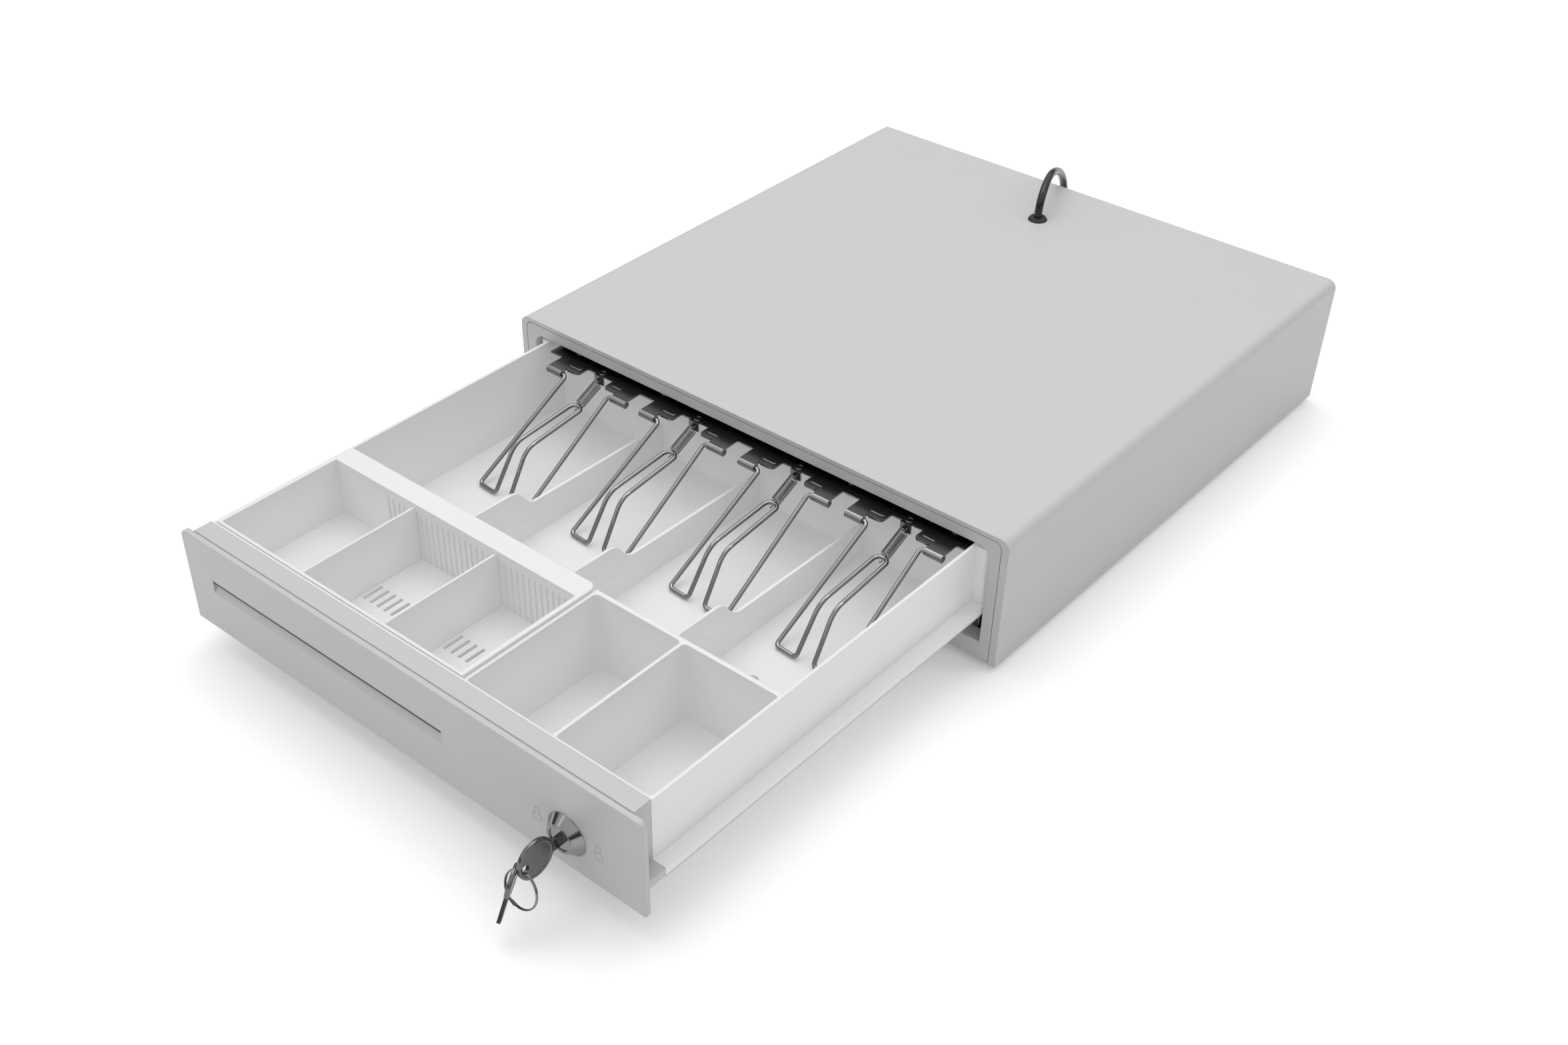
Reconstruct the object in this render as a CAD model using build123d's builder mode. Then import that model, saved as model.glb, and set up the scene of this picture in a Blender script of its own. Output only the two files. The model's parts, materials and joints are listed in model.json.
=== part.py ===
"""Counter-top cash drawer, modelled open against its stop.

X runs to the right, -Y towards the person using it, +Z up. The origin is on the counter,
under the middle of the casing's front edge. All sizes are in millimetres.
"""

from build123d import *
from math import cos, pi, radians, sin, tan
import os

# ---------------------------------------------------------------- driving dimensions
CASE_WIDTH = 410.0
CASE_DEPTH = 420.0
TOP_Z = 100.0                 # top of the casing above the counter
FOOT_HEIGHT = 4.0
SHEET = 1.2                   # casing sheet steel
TOP_EDGE_R = 7.0              # bend along the two long top edges
FLANGE = 5.0                  # shell's front flange
SEAM = 0.4                    # groove between the flange and the bezel
OPENING_WIDTH = 383.5
OPENING_BOTTOM = 18.0
OPENING_TOP = 89.0
OPENING_R = 8.0
OPENING_LOW_R = 3.0           # the opening's lower corners

OPEN_TRAVEL = 302.0           # how far the drawer stands out at rest
PLATE_WIDTH = 381.5
PLATE_BOTTOM = 19.5
PLATE_TOP = 87.3
PLATE_THICK = 4.0
PLATE_Y = -OPEN_TRAVEL        # front face of the drawer's plate
LEDGE_TOP = 88.0
LEDGE_BACK = PLATE_Y + 16.6
LEDGE_HALF = 181.5

TRAY_HALF = 181.5             # outside of the tray's side walls
TRAY_BACK = 15.0
TRAY_WALL = 2.2
TRAY_TOP = 86.8
FLOOR_TOP = 30.0
FLOOR_BOTTOM = 28.0
SIDE_LEDGE_HALF = 190.5
SIDE_LEDGE_TOP = 44.0
SIDE_LEDGE_BOTTOM = 38.5
RIM_FRONT = -192.0            # wide rim between the coin and the bill sections
RIM_BACK = -177.5
INSERT_RIGHT = 38.8
COIN_WALL_X = 109.0           # wall between the two fixed coin compartments
CLIP_PITCH = 86.8
TRAY_MIDDLE = 2.5             # the note compartments and their clips sit slightly to the right
CLIP_CENTRES = [TRAY_MIDDLE + CLIP_PITCH * step for step in (-1.5, -0.5, 0.5, 1.5)]
BILL_WALLS = [TRAY_MIDDLE + CLIP_PITCH * step for step in (-1, 0, 1)]

PIVOT_Y = -14.5               # hinge line of the bill clips
PIVOT_Z = 79.0
WIRE_R = 1.5
STRIP_THICK = 1.2
HINGE_GAP = 0.05              # radial clearance of every pivot

LOCK_X = 135.0
LOCK_Z = 44.5

CABLE_R = 3.0
GROMMET_X = -12.0
GROMMET_Y = 360.0

os.makedirs("parts", exist_ok=True)


def save(part, name):
    """Label a finished piece and write its STEP file."""
    part.label = name
    export_step(part, f"parts/{name}.step")


def box_between(low, high, mode=Mode.ADD):
    """A box between two opposite corners, in the current part."""
    size = [high[i] - low[i] for i in range(3)]
    middle = Vector(*[(low[i] + high[i]) / 2 for i in range(3)])
    with Locations(middle):
        Box(*size, mode=mode)


def rod_x(x0, x1, y, z, radius, mode=Mode.ADD):
    """A round bar along X, in the current part."""
    with Locations(((x0 + x1) / 2, y, z)):
        Cylinder(radius, x1 - x0, rotation=(0, 90, 0), mode=mode)


def rod_y(x, y0, y1, z, radius, mode=Mode.ADD):
    """A round bar along Y, in the current part."""
    with Locations((x, (y0 + y1) / 2, z)):
        Cylinder(radius, y1 - y0, rotation=(90, 0, 0), mode=mode)


def rod_z(x, y, z0, z1, radius, mode=Mode.ADD):
    """A round bar along Z, in the current part."""
    with Locations((x, y, (z0 + z1) / 2)):
        Cylinder(radius, z1 - z0, mode=mode)


def front_plane(y):
    """A plane facing the front, with sketch X to the right and sketch Y up."""
    return Plane((0, y, 0), x_dir=(1, 0, 0), z_dir=(0, -1, 0))


def swept_wire(points, bends, radius, name):
    """A bent wire along straight runs joined by arcs."""
    with BuildPart() as wire:
        with BuildLine() as path:
            FilletPolyline(*points, radius=bends)
        with BuildSketch(path.wire() ^ 0):
            Circle(radius)
        sweep()
    save(wire.part, name)


# ---------------------------------------------------------------- casing
CASE_HALF = CASE_WIDTH / 2
INNER_HALF = CASE_HALF - SHEET
INNER_TOP = TOP_Z - SHEET
CASE_BASE = FOOT_HEIGHT                    # underside of the casing
BASE_TOP = CASE_BASE + 2 * SHEET           # inside face of the base plate
GROMMET_HOLE_R = 5.6
FEET = [(x, y) for x in (-178.0, 178.0) for y in (28.0, 392.0)]
REAR_Y = CASE_DEPTH - 2 * SHEET            # front face of the rear panel
REAR_SCREWS = [(x, z) for x in (-197.5, 197.5) for z in (24.0, 80.0)]
REAR_SCREW_HOLE_R = 1.8


def top_rounded(half_width, bottom, top, radius):
    """A rectangle standing on `bottom` with its two upper corners rounded, in the current sketch."""
    with Locations((0, (bottom + top) / 2)):
        outline = Rectangle(2 * half_width, top - bottom)
    fillet(outline.vertices().group_by(Axis.Y)[-1], radius)


def make_housing_shell():
    bottom_flange = 14.0
    rear_flange = 12.0
    with BuildPart() as shell:
        with BuildSketch(front_plane(CASE_DEPTH)):
            top_rounded(CASE_HALF, CASE_BASE, TOP_Z, TOP_EDGE_R)
        extrude(amount=CASE_DEPTH)
        with BuildSketch(front_plane(CASE_DEPTH - SHEET)):
            top_rounded(INNER_HALF, CASE_BASE + SHEET, INNER_TOP, TOP_EDGE_R - SHEET)
        extrude(amount=CASE_DEPTH - 2 * SHEET, mode=Mode.SUBTRACT)
        with BuildSketch(front_plane(SHEET)):
            top_rounded(CASE_HALF - FLANGE, CASE_BASE, TOP_Z - FLANGE + 2, FLANGE)
        extrude(amount=SHEET, mode=Mode.SUBTRACT)
        with BuildSketch(front_plane(CASE_DEPTH)):
            top_rounded(CASE_HALF - rear_flange, CASE_BASE, TOP_Z - rear_flange, FLANGE)
        extrude(amount=SHEET, mode=Mode.SUBTRACT)
        floor_half = CASE_HALF - bottom_flange
        box_between((-floor_half, 0, CASE_BASE), (floor_half, CASE_DEPTH, BASE_TOP - SHEET), Mode.SUBTRACT)
        rod_z(GROMMET_X, GROMMET_Y, INNER_TOP - 1, TOP_Z + 1, GROMMET_HOLE_R, Mode.SUBTRACT)
        for x, z in REAR_SCREWS:
            rod_y(x, CASE_DEPTH - 3, CASE_DEPTH + 1, z, REAR_SCREW_HOLE_R, Mode.SUBTRACT)
    save(shell.part, "housing_shell")


BEZEL_HALF = CASE_HALF - FLANGE - SEAM
BEZEL_TOP = TOP_Z - FLANGE + 2 - SEAM
BEZEL_BOTTOM = CASE_BASE + 1.5
BEZEL_THICK = 1.5
LIP_DEPTH = 11.5              # how far the opening's edge turns inwards


def opening_outline(margin):
    """The rounded opening, grown by a margin, in the current sketch."""
    height = OPENING_TOP - OPENING_BOTTOM
    with Locations((0, OPENING_BOTTOM + height / 2)):
        opening = Rectangle(OPENING_WIDTH + 2 * margin, height + 2 * margin)
    fillet(opening.vertices().group_by(Axis.Y)[-1], OPENING_R + margin)
    fillet(opening.vertices().group_by(Axis.Y)[0], OPENING_LOW_R + margin)


def make_front_bezel():
    with BuildPart() as bezel:
        with BuildSketch(front_plane(BEZEL_THICK)):
            top_rounded(BEZEL_HALF, BEZEL_BOTTOM, BEZEL_TOP, FLANGE - SEAM)
        extrude(amount=BEZEL_THICK)
        with BuildSketch(front_plane(LIP_DEPTH)):
            opening_outline(BEZEL_THICK)
        extrude(amount=LIP_DEPTH)
        with BuildSketch(front_plane(LIP_DEPTH)):
            opening_outline(0)
        extrude(amount=LIP_DEPTH, mode=Mode.SUBTRACT)
        mouth = bezel.edges().filter_by_position(Axis.Y, -0.01, 0.01).group_by(SortBy.LENGTH)
        inner = [e for group in mouth for e in group if abs(e.center().X) < OPENING_WIDTH / 2 + 1]
        inner = [e for e in inner if OPENING_BOTTOM - 1 < e.center().Z < OPENING_TOP + 1]
        fillet(inner, 0.9)
    save(bezel.part, "front_bezel")


def make_base_plate():
    with BuildPart() as plate:
        edge = 1.0
        low = (edge - INNER_HALF, 2.5, BASE_TOP - SHEET)
        box_between(low, (INNER_HALF - edge, REAR_Y - edge, BASE_TOP))
        with BuildSketch(Plane.XY.offset(BASE_TOP)):
            with Locations((0, 120), (0, 250)):
                SlotOverall(240, 14)
        extrude(amount=1.0)
        with Locations(*[(x, y, 0) for x, y in FEET]):
            Cylinder(2.2, 4 * BASE_TOP, mode=Mode.SUBTRACT)
    save(plate.part, "base_plate")


def make_rear_panel():
    with BuildPart() as panel:
        with BuildSketch(front_plane(REAR_Y + SHEET)):
            top_rounded(INNER_HALF - 0.2, BASE_TOP, INNER_TOP - 0.2, TOP_EDGE_R - SHEET)
            with Locations(*REAR_SCREWS):
                Circle(REAR_SCREW_HOLE_R, mode=Mode.SUBTRACT)
        extrude(amount=SHEET)
    save(panel.part, "rear_panel")


def make_feet():
    rim, head = 10.0, 4.4
    with BuildPart() as feet:
        for x, y in FEET:
            with BuildSketch(Plane.XY):
                with Locations((x, y)):
                    Circle(rim)
            extrude(amount=BASE_TOP - SHEET, taper=8)
            rod_z(x, y, -1, 3, head, Mode.SUBTRACT)
            rod_z(x, y, 0, BASE_TOP, 2.0, Mode.SUBTRACT)
    save(feet.part, "rubber_feet")
    with BuildPart() as screws:
        for x, y in FEET:
            rod_z(x, y, 0.8, 3.0, 3.6)
            rod_z(x, y, 3.0, 9.0, 1.9)
    save(screws.part, "foot_screws")


def make_rear_screws():
    with BuildPart() as screws:
        for x, z in REAR_SCREWS:
            rod_y(x, REAR_Y - 5, CASE_DEPTH, z, REAR_SCREW_HOLE_R - 0.1)
            rod_y(x, CASE_DEPTH, CASE_DEPTH + 1.6, z, 3.2)
    save(screws.part, "rear_screws")


GROMMET_FACE = TOP_Z + 2.0    # where the cable comes out
GROMMET_R = 7.4


def make_grommet():
    with BuildPart() as grommet:
        rod_z(GROMMET_X, GROMMET_Y, INNER_TOP - 1.8, INNER_TOP, GROMMET_R)
        rod_z(GROMMET_X, GROMMET_Y, INNER_TOP, TOP_Z, GROMMET_HOLE_R - 0.1)
        with BuildSketch(Plane.XY.offset(TOP_Z)):
            with Locations((GROMMET_X, GROMMET_Y)):
                Circle(GROMMET_R)
        extrude(amount=GROMMET_FACE - TOP_Z, taper=35)
    save(grommet.part, "cable_grommet")


# ---------------------------------------------------------------- slide rails and rollers
RAIL_Z = SIDE_LEDGE_BOTTOM - 1.5           # running face of the drawer rails
ROLLER_R = 6.0
FRONT_ROLLER_Y = 22.0
FRONT_ROLLER_Z = RAIL_Z - 0.3 - ROLLER_R
FRONT_ROLLER_X = (183.4, 189.2)
BRACKET_X = (181.9, 182.9)
AXLE_R = 2.0
REAR_ROLLER_R = 6.5
REAR_ROLLER_Y = 60.0                       # at rest, with the drawer open
CHANNEL_Z = (22.2, 36.2)                   # inside faces of the fixed channel's flanges
REAR_ROLLER_Z = CHANNEL_Z[0] + REAR_ROLLER_R + 0.3
REAR_ROLLER_X = (193.2, 201.2)
RAIL_WEB_X = (189.0, 190.2)
RAIL_END = 72.0
SIDES = {"left": -1, "right": 1}


def side_box(side, x_range, y_range, z_range, mode=Mode.ADD):
    """A box on one side of the drawer, with X given for the right side."""
    xs = sorted((side * x_range[0], side * x_range[1]))
    box_between((xs[0], y_range[0], z_range[0]), (xs[1], y_range[1], z_range[1]), mode)


def side_rod(side, x_range, y, z, radius, mode=Mode.ADD):
    """A round bar along X on one side of the drawer."""
    xs = sorted((side * x_range[0], side * x_range[1]))
    rod_x(xs[0], xs[1], y, z, radius, mode)


def make_rails():
    rail_y = (14.0, 404.0)
    web = (INNER_HALF - 1.2, INNER_HALF)
    flange_x = (192.6, INNER_HALF)
    for name, side in SIDES.items():
        with BuildPart() as channel:
            side_box(side, web, rail_y, (CHANNEL_Z[0] - 1.2, CHANNEL_Z[1] + 1.2))
            side_box(side, flange_x, rail_y, (CHANNEL_Z[0] - 1.2, CHANNEL_Z[0]))
            side_box(side, flange_x, rail_y, (CHANNEL_Z[1], CHANNEL_Z[1] + 1.2))
            side_box(side, (194.0, 200.0), (48.5, 50.0), (CHANNEL_Z[0], CHANNEL_Z[0] + 3))
        save(channel.part, f"fixed_rail_{name}")

        with BuildPart() as bracket:
            side_box(side, BRACKET_X, (13.0, 31.0), (BASE_TOP, FRONT_ROLLER_Z + 4.5))
            side_box(side, (BRACKET_X[0], 203.0), (13.0, 31.0), (BASE_TOP, BASE_TOP + 1.2))
            side_rod(side, BRACKET_X, FRONT_ROLLER_Y, FRONT_ROLLER_Z, AXLE_R + 0.02, Mode.SUBTRACT)
        save(bracket.part, f"roller_bracket_{name}")

        with BuildPart() as pin:
            side_rod(side, (BRACKET_X[0], 190.0), FRONT_ROLLER_Y, FRONT_ROLLER_Z, AXLE_R)
            side_rod(side, (189.5, 190.3), FRONT_ROLLER_Y, FRONT_ROLLER_Z, 3.4)
        save(pin.part, f"front_roller_pin_{name}")

        with BuildPart() as roller:
            side_rod(side, FRONT_ROLLER_X, FRONT_ROLLER_Y, FRONT_ROLLER_Z, ROLLER_R)
            side_rod(side, FRONT_ROLLER_X, FRONT_ROLLER_Y, FRONT_ROLLER_Z, AXLE_R + HINGE_GAP, Mode.SUBTRACT)
        save(roller.part, f"front_roller_{name}")

        with BuildPart() as rail:
            side_box(side, (182.2, RAIL_WEB_X[1]), (PLATE_Y + 17.0, RAIL_END), (RAIL_Z, SIDE_LEDGE_BOTTOM))
            side_box(side, RAIL_WEB_X, (34.0, RAIL_END), (24.0, RAIL_Z))
            side_rod(side, RAIL_WEB_X, REAR_ROLLER_Y, REAR_ROLLER_Z, AXLE_R + 0.02, Mode.SUBTRACT)
        save(rail.part, f"drawer_rail_{name}")

        with BuildPart() as rear_pin:
            side_rod(side, (RAIL_WEB_X[0], 202.2), REAR_ROLLER_Y, REAR_ROLLER_Z, AXLE_R)
            side_rod(side, (201.5, 202.3), REAR_ROLLER_Y, REAR_ROLLER_Z, 3.4)
        save(rear_pin.part, f"rear_roller_pin_{name}")

        with BuildPart() as rear_roller:
            side_rod(side, REAR_ROLLER_X, REAR_ROLLER_Y, REAR_ROLLER_Z, REAR_ROLLER_R)
            side_rod(side, REAR_ROLLER_X, REAR_ROLLER_Y, REAR_ROLLER_Z, AXLE_R + HINGE_GAP, Mode.SUBTRACT)
        save(rear_roller.part, f"rear_roller_{name}")


# ---------------------------------------------------------------- drawer front
SLOT_X = (-166.0, 38.6)
SLOT_Z = (56.5, 59.7)
SLOT_RAMP_Z = 49.8
LOCK_HOLE_R = 9.1


def make_drawer_front():
    back = PLATE_Y + PLATE_THICK
    inner = LEDGE_HALF - 2.2
    with BuildPart() as front:
        with BuildSketch(front_plane(back)):
            with Locations((0, (PLATE_BOTTOM + PLATE_TOP) / 2)):
                plate = Rectangle(PLATE_WIDTH, PLATE_TOP - PLATE_BOTTOM)
            fillet(plate.vertices().group_by(Axis.Y)[-1], 5)
            fillet(plate.vertices().group_by(Axis.Y)[0], 2)
        extrude(amount=PLATE_THICK)
        rim = front.faces().sort_by(Axis.Y)[0].edges()
        fillet(rim, 0.8)
        box_between((-LEDGE_HALF, back, FLOOR_TOP), (LEDGE_HALF, LEDGE_BACK, LEDGE_TOP))
        box_between((-inner, back, FLOOR_TOP - 1), (inner, LEDGE_BACK - 2, LEDGE_TOP - 2.2), Mode.SUBTRACT)
        for side in (-1, 1):
            side_box(side, (LEDGE_HALF, SIDE_LEDGE_HALF), (back, LEDGE_BACK), (SIDE_LEDGE_BOTTOM, SIDE_LEDGE_TOP))
        with BuildSketch(Plane.YZ.offset(SLOT_X[0])):
            with BuildLine():
                Polyline(
                    (PLATE_Y - 1, SLOT_RAMP_Z - 2.2),
                    (PLATE_Y + 2.6, SLOT_Z[0]),
                    (back + 1, SLOT_Z[0]),
                    (back + 1, SLOT_Z[1]),
                    (PLATE_Y - 1, SLOT_Z[1]),
                    close=True,
                )
            make_face()
        extrude(amount=SLOT_X[1] - SLOT_X[0], mode=Mode.SUBTRACT)
        rod_y(LOCK_X, PLATE_Y - 1, back + 1, LOCK_Z, LOCK_HOLE_R, Mode.SUBTRACT)
    save(front.part, "drawer_front")


# ---------------------------------------------------------------- drawer tray
DIVIDER_THICK = 2.2
HOLE_X, HOLE_Y, HOLE_R = 118.0, -130.0, 4.0
BOSS_X, BOSS_Y, BOSS_R = 185.5, 7.0, 4.5      # screw boss outside each rear corner of the tray
BOSS_TOP = TRAY_TOP - 1.5
STRIP_SCREW_X = (-160.0, -80.0, 80.0, 160.0)
STRIP_SCREW_Y = TRAY_BACK - 2.5
SCREW_POST_TOP = 80.4

BILL_WALL_BACK = TRAY_BACK - TRAY_WALL
DIP = [(-130, 69.5), (-119, 62), (-108, 54.8)]  # where the top of a bill wall steps down, Y and Z


def make_tray():
    inner = TRAY_HALF - TRAY_WALL
    front = LEDGE_BACK
    with BuildPart() as tray:
        box_between((-TRAY_HALF, front, FLOOR_BOTTOM), (TRAY_HALF, TRAY_BACK, TRAY_TOP))
        box_between((-inner, front + TRAY_WALL, FLOOR_TOP), (inner, TRAY_BACK - TRAY_WALL, TRAY_TOP + 1), Mode.SUBTRACT)
        box_between((-inner, TRAY_BACK - 5, 78.0), (inner, TRAY_BACK + 1, TRAY_TOP + 1), Mode.SUBTRACT)
        for side in (-1, 1):
            side_box(side, (inner, SIDE_LEDGE_HALF), (front, TRAY_BACK), (SIDE_LEDGE_BOTTOM, SIDE_LEDGE_TOP))
            rod_z(side * BOSS_X, BOSS_Y, SIDE_LEDGE_TOP, BOSS_TOP, BOSS_R)
            side_box(side, (180.5, BOSS_X), (BOSS_Y - BOSS_R, BOSS_Y + BOSS_R), (SIDE_LEDGE_TOP, BOSS_TOP))
        box_between((-inner, RIM_BACK - 2, FLOOR_TOP - 1), (inner, RIM_BACK, TRAY_TOP - 3))
        fixed = (INSERT_RIGHT + 0.6, INSERT_RIGHT + 0.6 + DIVIDER_THICK)
        box_between((fixed[0], front + 1, FLOOR_TOP - 1), (fixed[1], RIM_BACK, TRAY_TOP - 1.2))
        coin = (COIN_WALL_X - DIVIDER_THICK / 2, COIN_WALL_X + DIVIDER_THICK / 2)
        box_between((coin[0], front + 1, FLOOR_TOP - 1), (coin[1], RIM_BACK, TRAY_TOP - 1.2))
        box_between((fixed[0], RIM_BACK - 3.2, FLOOR_TOP - 1), (inner + 1, RIM_BACK, TRAY_TOP - 1.2))
        for x in BILL_WALLS:
            with BuildSketch(Plane.YZ.offset(x - DIVIDER_THICK / 2)):
                with BuildLine():
                    Polyline((BILL_WALL_BACK, FLOOR_TOP - 1), (RIM_BACK, FLOOR_TOP - 1), (RIM_BACK, 70.5), DIP[0])
                    Spline(*DIP, tangents=((1, -0.05), (1, -0.05)))
                    Polyline(DIP[-1], (BILL_WALL_BACK, 53), (BILL_WALL_BACK, FLOOR_TOP - 1))
                make_face()
            extrude(amount=DIVIDER_THICK)
        rod_z(HOLE_X, HOLE_Y, FLOOR_BOTTOM - 1, FLOOR_TOP + 1, HOLE_R, Mode.SUBTRACT)
        for x in STRIP_SCREW_X:
            rod_z(x, STRIP_SCREW_Y, 70.0, SCREW_POST_TOP, 3.5)
        upright = tray.edges().filter_by(Axis.Z)
        floor_corners = upright.filter_by_position(Axis.Y, front + 1, RIM_BACK - 1)
        floor_corners = floor_corners.filter_by_position(Axis.X, fixed[1] - 0.1, inner + 0.1)
        fillet(floor_corners, 3)
    save(tray.part, "drawer_tray")


INSERT_LEFT = -TRAY_HALF + TRAY_WALL + 0.5
INSERT_FRONT = LEDGE_BACK + TRAY_WALL + 0.4
INSERT_BACK = RIM_BACK - 2.4
INSERT_FLOOR = 46.5
DIVIDER_X = (-102.0, -29.5)
RIB_PITCH = 5.0


def make_coin_insert():
    wall = 2.0
    top = LEDGE_TOP - 0.4
    with BuildPart() as insert:
        box_between((INSERT_LEFT, INSERT_FRONT, INSERT_FLOOR - wall), (INSERT_RIGHT, INSERT_BACK, top))
        box_between(
            (INSERT_LEFT + wall, INSERT_FRONT + wall, INSERT_FLOOR),
            (INSERT_RIGHT - wall - 1, RIM_FRONT, top + 1),
            Mode.SUBTRACT,
        )
        box_between(
            (INSERT_LEFT + wall, RIM_FRONT + wall, INSERT_FLOOR - wall - 1),
            (INSERT_RIGHT - wall, INSERT_BACK + 1, top - wall),
            Mode.SUBTRACT,
        )
        box_between((INSERT_LEFT, INSERT_BACK, TRAY_TOP - 2.6), (INSERT_RIGHT, RIM_BACK + 1, top))
        corner = insert.edges().filter_by(Axis.Z).sort_by(Axis.Y)[-2:].sort_by(Axis.X)[-1]
        fillet(corner, 6)
        for i in range(33):
            x = -128.0 + RIB_PITCH * i
            if min(abs(x - d) for d in DIVIDER_X) > 2.2:
                for y in ((INSERT_FRONT + wall, INSERT_FRONT + wall + 1), (RIM_FRONT - 1, RIM_FRONT)):
                    box_between((x - 0.5, y[0], INSERT_FLOOR), (x + 0.5, y[1], top - 6))
        for start in DIVIDER_X:
            for i in range(5):
                x = start + 4.0 + 6.3 * i
                box_between((x - 1.2, -243, INSERT_FLOOR - 3), (x + 1.2, -228, INSERT_FLOOR + 1), Mode.SUBTRACT)
    save(insert.part, "coin_insert")

    for number, x in enumerate(DIVIDER_X, 1):
        with BuildPart() as divider:
            low = (x - 0.8, INSERT_FRONT + wall + 0.3, INSERT_FLOOR + 0.3)
            box_between(low, (x + 0.8, RIM_FRONT - 0.3, top - 1.5))
            upper = divider.edges().filter_by(Axis.X).sort_by(Axis.Z)[-2:]
            fillet(upper, 3)
        save(divider.part, f"coin_divider_{number}")


# ---------------------------------------------------------------- bill clips
STRIP_TOP = PIVOT_Z + WIRE_R + HINGE_GAP + STRIP_THICK
STRIP_BACK = TRAY_BACK - 0.5
BARREL_X = (23.6, 36.6)       # one barrel's reach from its clip's centre
BARREL_R = WIRE_R + HINGE_GAP + STRIP_THICK
STRIP_FRONT = -1.0            # the strip's front edge between its hinge tabs
LOBE_FRONT = -11.4            # the rounded front of each hinge tab, beside its barrel
LOBE_BACK = STRIP_FRONT + 6.0
LOBE_CORNER = 3.5
NOTCH_HALF = 12.0             # half of the notch that the clip's spring lies in
TAB_WIDTH = 8.0
FOOT_Y = -98.0
FOOT_Z = FLOOR_TOP + WIRE_R + 0.3
LOOP_Y, LOOP_Z = -23.8, 67.4  # the loop that the clip's spring pulls on
HOOK_Y, HOOK_Z = -4.2, 76.2   # where the spring hooks on to the strip


def make_clip_strip():
    plate_z = (STRIP_TOP - STRIP_THICK, STRIP_TOP)
    with BuildPart() as strip:
        box_between((-176, STRIP_FRONT, plate_z[0]), (176, STRIP_BACK, plate_z[1]))
        for centre in CLIP_CENTRES:
            for side in (-1, 1):
                xs = sorted((centre + side * BARREL_X[0], centre + side * BARREL_X[1]))
                lobe = sorted((centre + side * NOTCH_HALF, centre + side * (BARREL_X[0] + 1)))
                box_between((xs[0], PIVOT_Y, plate_z[0]), (xs[1], STRIP_FRONT + 1, plate_z[1]))
                with BuildSketch(Plane.XY.offset(plate_z[0])):
                    with Locations(((lobe[0] + lobe[1]) / 2, (LOBE_FRONT + LOBE_BACK) / 2)):
                        RectangleRounded(lobe[1] - lobe[0], LOBE_BACK - LOBE_FRONT, LOBE_CORNER)
                extrude(amount=STRIP_THICK)
                rod_x(xs[0], xs[1], PIVOT_Y, PIVOT_Z, BARREL_R)
                rod_x(xs[0], xs[1], PIVOT_Y, PIVOT_Z, WIRE_R + HINGE_GAP, Mode.SUBTRACT)
            tab = TAB_WIDTH / 2
            box_between((centre - tab, STRIP_FRONT - 2, plate_z[0]), (centre + tab, STRIP_FRONT + 1, plate_z[1]))
            box_between((centre - tab, STRIP_FRONT - 2, 75.2), (centre + tab, STRIP_FRONT - 0.8, plate_z[0]))
        for x in STRIP_SCREW_X:
            rod_z(x, STRIP_SCREW_Y, 70, 90, 1.7, Mode.SUBTRACT)
    save(strip.part, "clip_strip")
    with BuildPart() as screws:
        for x in STRIP_SCREW_X:
            rod_z(x, STRIP_SCREW_Y, STRIP_TOP, STRIP_TOP + 1.6, 3.0)
            rod_z(x, STRIP_SCREW_Y, SCREW_POST_TOP, STRIP_TOP, 1.6)
    save(screws.part, "clip_screws")


def make_bill_clip(number, centre):
    """One bent wire: two hinge ends, two arms, two feet and a loop that the spring pulls."""
    half = [
        (BARREL_X[1] - 0.6, PIVOT_Y, PIVOT_Z),
        (20.0, PIVOT_Y, PIVOT_Z),
        (23.0, FOOT_Y, FOOT_Z),
        (6.6, FOOT_Y - 1, FOOT_Z),
        (5.4, -79.0, 62.4),
        (4.6, LOOP_Y, LOOP_Z),
    ]
    left = [(centre - x, y, z) for x, y, z in half]
    right = [(centre + x, y, z) for x, y, z in reversed(half)]
    corner = [3.0, 3.0, 3.0, 16.0]
    swept_wire(left + right, corner + [4.4, 4.4] + corner[::-1], WIRE_R, f"bill_clip_{number}")


def make_clip_spring(number, centre):
    """Extension spring from the clip's loop to the strip's hook tab, as a sleeve of its outside size."""
    start = Vector(centre, LOOP_Y + 1.6, LOOP_Z + 0.7)
    end = Vector(centre, HOOK_Y, HOOK_Z)
    axis = Plane(start, x_dir=(1, 0, 0), z_dir=end - start)
    with BuildPart() as spring:
        with BuildSketch(axis):
            Circle(3.6)
            Circle(2.4, mode=Mode.SUBTRACT)
        extrude(amount=(end - start).length)
    save(spring.part, f"clip_spring_{number}")


# ---------------------------------------------------------------- lock and keys
CORE_R = 7.6
BOW_Y, BOW_R = -325.5, 12.5
KEY_THICK = 2.2
KEY_HOLE = (-334.0, 43.0)
KEY_HOLE_R = 3.0
RING_R, RING_WIRE = 11.5, 0.9
RING_TILT = 15.0
SPARE_X = LOCK_X - 5.7
SPARE_BOW_R, SPARE_BLADE = 10.0, 13.0
SPARE_HOLE = 6.4              # from the middle of the spare key's bow to its hole
SPARE_DOWN = (0.085, -0.56, -0.825)
SPARE_FACE = (0.845, 0.479, -0.236)


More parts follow.
